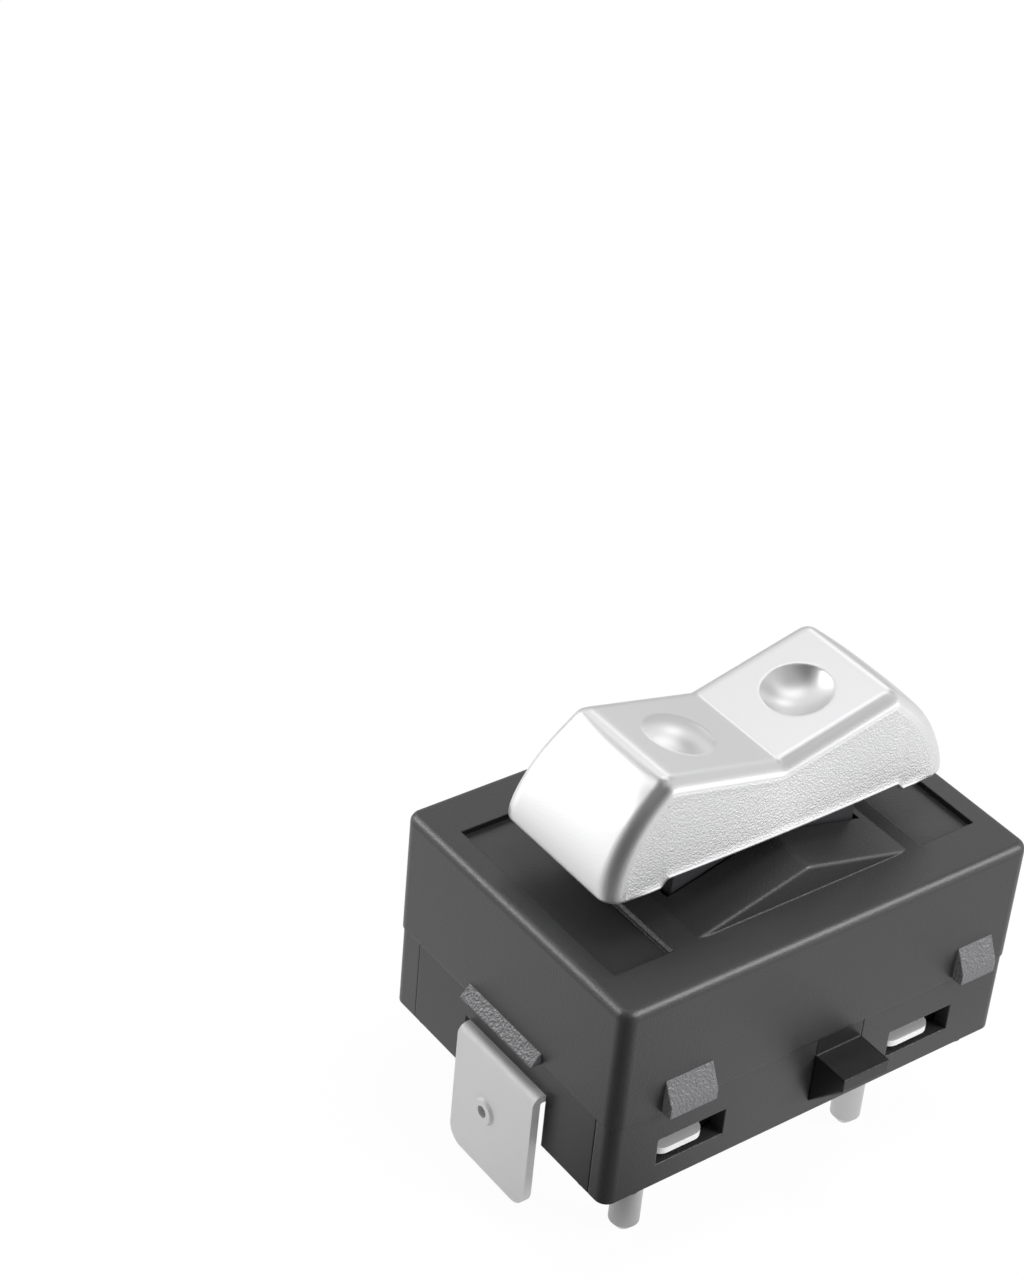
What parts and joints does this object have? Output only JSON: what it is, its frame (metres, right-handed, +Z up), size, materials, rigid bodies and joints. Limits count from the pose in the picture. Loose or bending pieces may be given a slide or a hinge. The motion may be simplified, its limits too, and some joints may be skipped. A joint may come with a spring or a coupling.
{
  "type": "rocker switch",
  "caption": "Rocker switch with a winged two-way button on a snap-in housing, a wide blade terminal at one end and round terminal pins underneath.",
  "frame": {"origin": "middle of the flat underside of the base housing, in the plane of its lower edge", "axes": "+X along the housing, away from the end with the wide blade terminal; +Y across it, away from the pictured long side; +Z up, towards the button"},
  "size_m": [0.0403, 0.033, 0.0391],
  "materials": {
    "cover_plastic": "fine grained black",
    "base_plastic": "fine grained black",
    "carrier_plastic": "smooth black",
    "shank_plastic": "smooth black",
    "button_plastic": "satin light grey",
    "blade_metal": "tin-plated, satin",
    "terminal_metal": "tin-plated, satin",
    "pin_metal": "tin-plated, polished",
    "contact_metal": "silver alloy, polished",
    "arm_metal": "copper alloy, satin",
    "plunger_metal": "turned brass",
    "spring_steel": "drawn wire",
    "axle_steel": "ground steel"
  },
  "bodies": {
    "housing": {"upper_housing": "cover_plastic", "base_housing": "base_plastic", "terminal_carrier": "carrier_plastic", "feed_terminal": "blade_metal", "front_left_terminal": "terminal_metal", "front_left_pin": "pin_metal", "front_left_contact": "contact_metal", "front_right_terminal": "terminal_metal", "front_right_pin": "pin_metal", "front_right_contact": "contact_metal", "rear_left_terminal": "terminal_metal", "rear_left_pin": "pin_metal", "rear_left_contact": "contact_metal", "rear_right_terminal": "terminal_metal", "rear_right_pin": "pin_metal", "rear_right_contact": "contact_metal"},
    "rocker": {"rocker_cap": "button_plastic", "rocker_carrier": "shank_plastic", "pivot_pin": "axle_steel", "front_spring": "spring_steel", "rear_spring": "spring_steel"},
    "front_plunger": {"front_plunger": "plunger_metal"},
    "rear_plunger": {"rear_plunger": "plunger_metal"},
    "front_arm": {"front_contact_arm": "arm_metal", "front_moving_contacts": "contact_metal"},
    "rear_arm": {"rear_contact_arm": "arm_metal", "rear_moving_contacts": "contact_metal"}
  },
  "joints": [
    {"name": "rocker_tilt", "type": "hinge", "parent": "housing", "child": "rocker", "pos_m": [0.00045, 0, 0.018], "axis": [0, 1, 0], "range_deg": [-8, 8], "stiffness_Nm_per_rad": 0.12},
    {"name": "front_plunger_slide", "type": "slide", "parent": "rocker", "child": "front_plunger", "axis": [0, 0, 1], "range_m": [0, 0.0008], "stiffness_N_per_m": 300, "springref_m": -0.002, "deforming": ["front_spring"]},
    {"name": "front_arm_rock", "type": "hinge", "parent": "housing", "child": "front_arm", "pos_m": [0.00045, -0.00215, 0.00483], "axis": [0, 1, 0], "range_deg": [-4.9, 4.9]},
    {"name": "rear_plunger_slide", "type": "slide", "parent": "rocker", "child": "rear_plunger", "axis": [0, 0, 1], "range_m": [0, 0.0008], "stiffness_N_per_m": 300, "springref_m": -0.002, "deforming": ["rear_spring"]},
    {"name": "rear_arm_rock", "type": "hinge", "parent": "housing", "child": "rear_arm", "pos_m": [0.00045, 0.00215, 0.00483], "axis": [0, 1, 0], "range_deg": [-4.9, 4.9]}
  ],
  "couplings": [
    {"joint": "front_arm_rock", "follows": "rocker_tilt", "ratio": -0.6},
    {"joint": "rear_arm_rock", "follows": "rocker_tilt", "ratio": -0.6}
  ]
}
